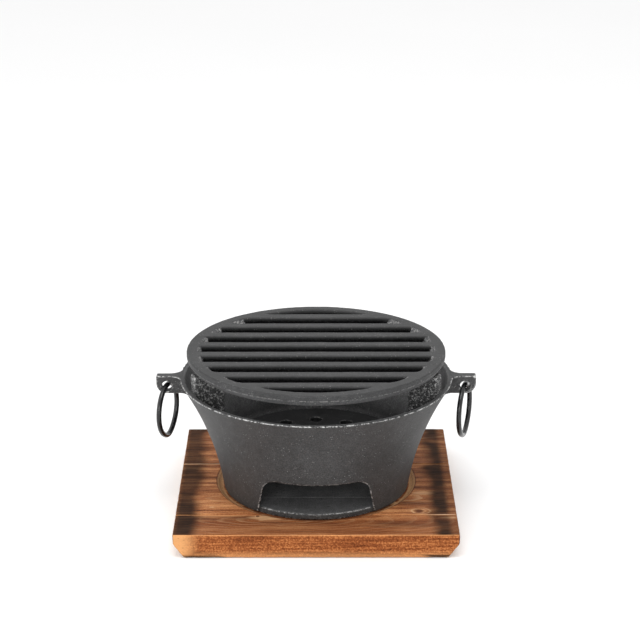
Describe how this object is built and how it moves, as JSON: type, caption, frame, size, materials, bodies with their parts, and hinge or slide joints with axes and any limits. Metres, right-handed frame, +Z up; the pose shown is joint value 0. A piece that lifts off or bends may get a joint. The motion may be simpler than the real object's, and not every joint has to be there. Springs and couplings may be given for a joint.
{
  "type": "hibachi grill",
  "caption": "Round flared cast-iron charcoal grill with a slotted cooking grate, ring handles and a low air inlet, standing in the recess of a charred wooden board.",
  "frame": {"origin": "middle of the board's underside", "axes": "+X from ear to ear, -Y out of the air inlet, +Z up"},
  "size_m": [0.246, 0.21, 0.1274],
  "materials": {
    "board": "scorched and brushed pine, charred at both ends, oiled satin",
    "stove_iron": "sand-cast, fine grain, matt black-grey coating",
    "grate_iron": "sand-cast, darker seasoned surface",
    "ring_wire": "gloss black coated steel wire"
  },
  "bodies": {
    "board": {"plank_back": "board", "plank_middle": "board", "plank_front": "board"},
    "stove": {"stove_body": "stove_iron"},
    "left_ring": {"ring_left": "ring_wire"},
    "right_ring": {"ring_right": "ring_wire"},
    "fire_grate": {"fire_grate": "grate_iron"},
    "cooking_grate": {"cooking_grate": "grate_iron"}
  },
  "joints": [
    {"name": "stove_lift", "type": "slide", "parent": "board", "child": "stove", "axis": [0, 0, 1], "range_m": [0, 0.071]},
    {"name": "grate_lift", "type": "slide", "parent": "stove", "child": "cooking_grate", "axis": [0, 0, 1], "range_m": [0, 0.0425]},
    {"name": "fire_grate_lift", "type": "slide", "parent": "stove", "child": "fire_grate", "axis": [0, 0, -1], "range_m": [-0.065, 0]},
    {"name": "left_ring_swing", "type": "hinge", "parent": "stove", "child": "left_ring", "pos_m": [-0.1146, 0, 0.098], "axis": [-0.2756, -0.9613, 0], "range_deg": [-180, 37]},
    {"name": "right_ring_swing", "type": "hinge", "parent": "stove", "child": "right_ring", "pos_m": [0.1146, 0, 0.098], "axis": [0.2756, 0.9613, 0], "range_deg": [-180, 37]}
  ]
}
